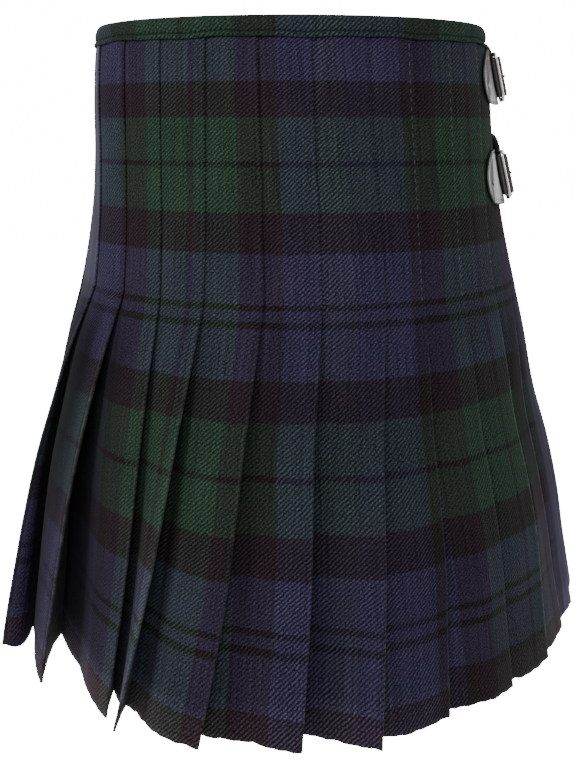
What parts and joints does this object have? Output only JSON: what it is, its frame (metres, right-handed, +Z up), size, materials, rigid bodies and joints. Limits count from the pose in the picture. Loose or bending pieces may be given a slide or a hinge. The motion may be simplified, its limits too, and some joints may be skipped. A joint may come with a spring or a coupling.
{
  "type": "kilt",
  "caption": "Knee-length tartan kilt in its worn, hollow form: knife pleats round back and sides, flat overlapping aprons in front, a waistband, and buckled leather straps at the right hip.",
  "frame": {"origin": "middle of the waist opening, at the height of the waistband's top edge", "axes": "+Z up, +Y to the wearer's front, +X to the wearer's right; the pleats are at -Y and the buckles at +X"},
  "size_m": [0.5301, 0.3632, 0.497],
  "materials": {
    "tartan": "matte worsted twill in dark blue, black and green",
    "waistband": "matte worsted twill",
    "black_leather": "semi-gloss",
    "chrome": "polished"
  },
  "bodies": {
    "root": {"pleats": "tartan", "over_apron": "tartan", "under_apron": "tartan", "waistband_back": "waistband", "waistband_over": "waistband", "waistband_under": "waistband", "tab_upper": "black_leather", "strap_upper": "black_leather", "buckle_upper": "chrome", "prong_upper": "chrome", "tab_lower": "black_leather", "strap_lower": "black_leather", "buckle_lower": "chrome", "prong_lower": "chrome"}
  },
  "joints": []
}
